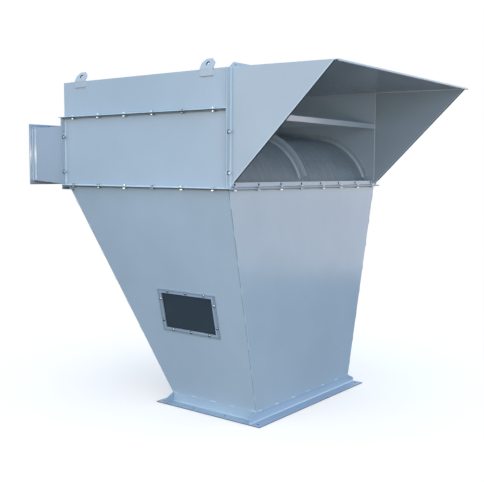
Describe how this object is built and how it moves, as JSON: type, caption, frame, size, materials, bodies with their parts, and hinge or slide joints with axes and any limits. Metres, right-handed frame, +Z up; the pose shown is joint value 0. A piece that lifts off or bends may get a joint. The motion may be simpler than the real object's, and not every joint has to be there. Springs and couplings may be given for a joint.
{
  "type": "static separator",
  "caption": "Static air separator: a sheet-metal casing with a flanged inlet duct, a curved screen and a slanting outlet hood, over a hopper that ends in an angle frame.",
  "frame": {"origin": "centre of the outlet frame's underside, under the hopper", "axes": "+Z up, +X towards the hood and -X towards the inlet duct, Y across the casing"},
  "size_m": [2.09, 1.5, 1.8424],
  "materials": {
    "painted_sheet": "pale blue-grey semi-gloss paint on folded sheet steel",
    "painted_bar": "the same paint on steel bars and angles",
    "screen_sheet": "perforated sheet, painted blue-grey",
    "smoked_pane": "dark smoked plastic pane"
  },
  "bodies": {
    "root": {"hopper_near_wall": "painted_sheet", "hopper_far_wall": "painted_sheet", "hopper_front_wall": "painted_sheet", "hopper_back_wall": "painted_sheet", "casing_near_panel": "painted_sheet", "casing_far_panel": "painted_sheet", "inlet_mounting_plate": "painted_sheet", "inlet_near_wall": "painted_sheet", "inlet_far_wall": "painted_sheet", "inlet_roof": "painted_sheet", "inlet_floor": "painted_sheet", "top_near_panel": "painted_sheet", "top_far_panel": "painted_sheet", "top_back_panel": "painted_sheet", "roof_panel": "painted_sheet", "hood_near_side": "painted_sheet", "hood_far_side": "painted_sheet", "hood_roof": "painted_sheet", "outlet_frame_front": "painted_bar", "outlet_frame_back": "painted_bar", "outlet_frame_near": "painted_bar", "outlet_frame_far": "painted_bar", "hopper_back_rail": "painted_bar", "window_frame": "painted_bar", "front_lip": "painted_bar", "front_cross_bar": "painted_bar", "inlet_flange": "painted_bar", "lug_near_back": "painted_bar", "lug_near_front": "painted_bar", "lug_far_back": "painted_bar", "lug_far_front": "painted_bar", "screen_near_half": "screen_sheet", "screen_far_half": "screen_sheet", "screen_near_rib": "screen_sheet", "screen_centre_rib": "screen_sheet", "screen_far_rib": "screen_sheet", "window_pane": "smoked_pane"}
  },
  "joints": []
}
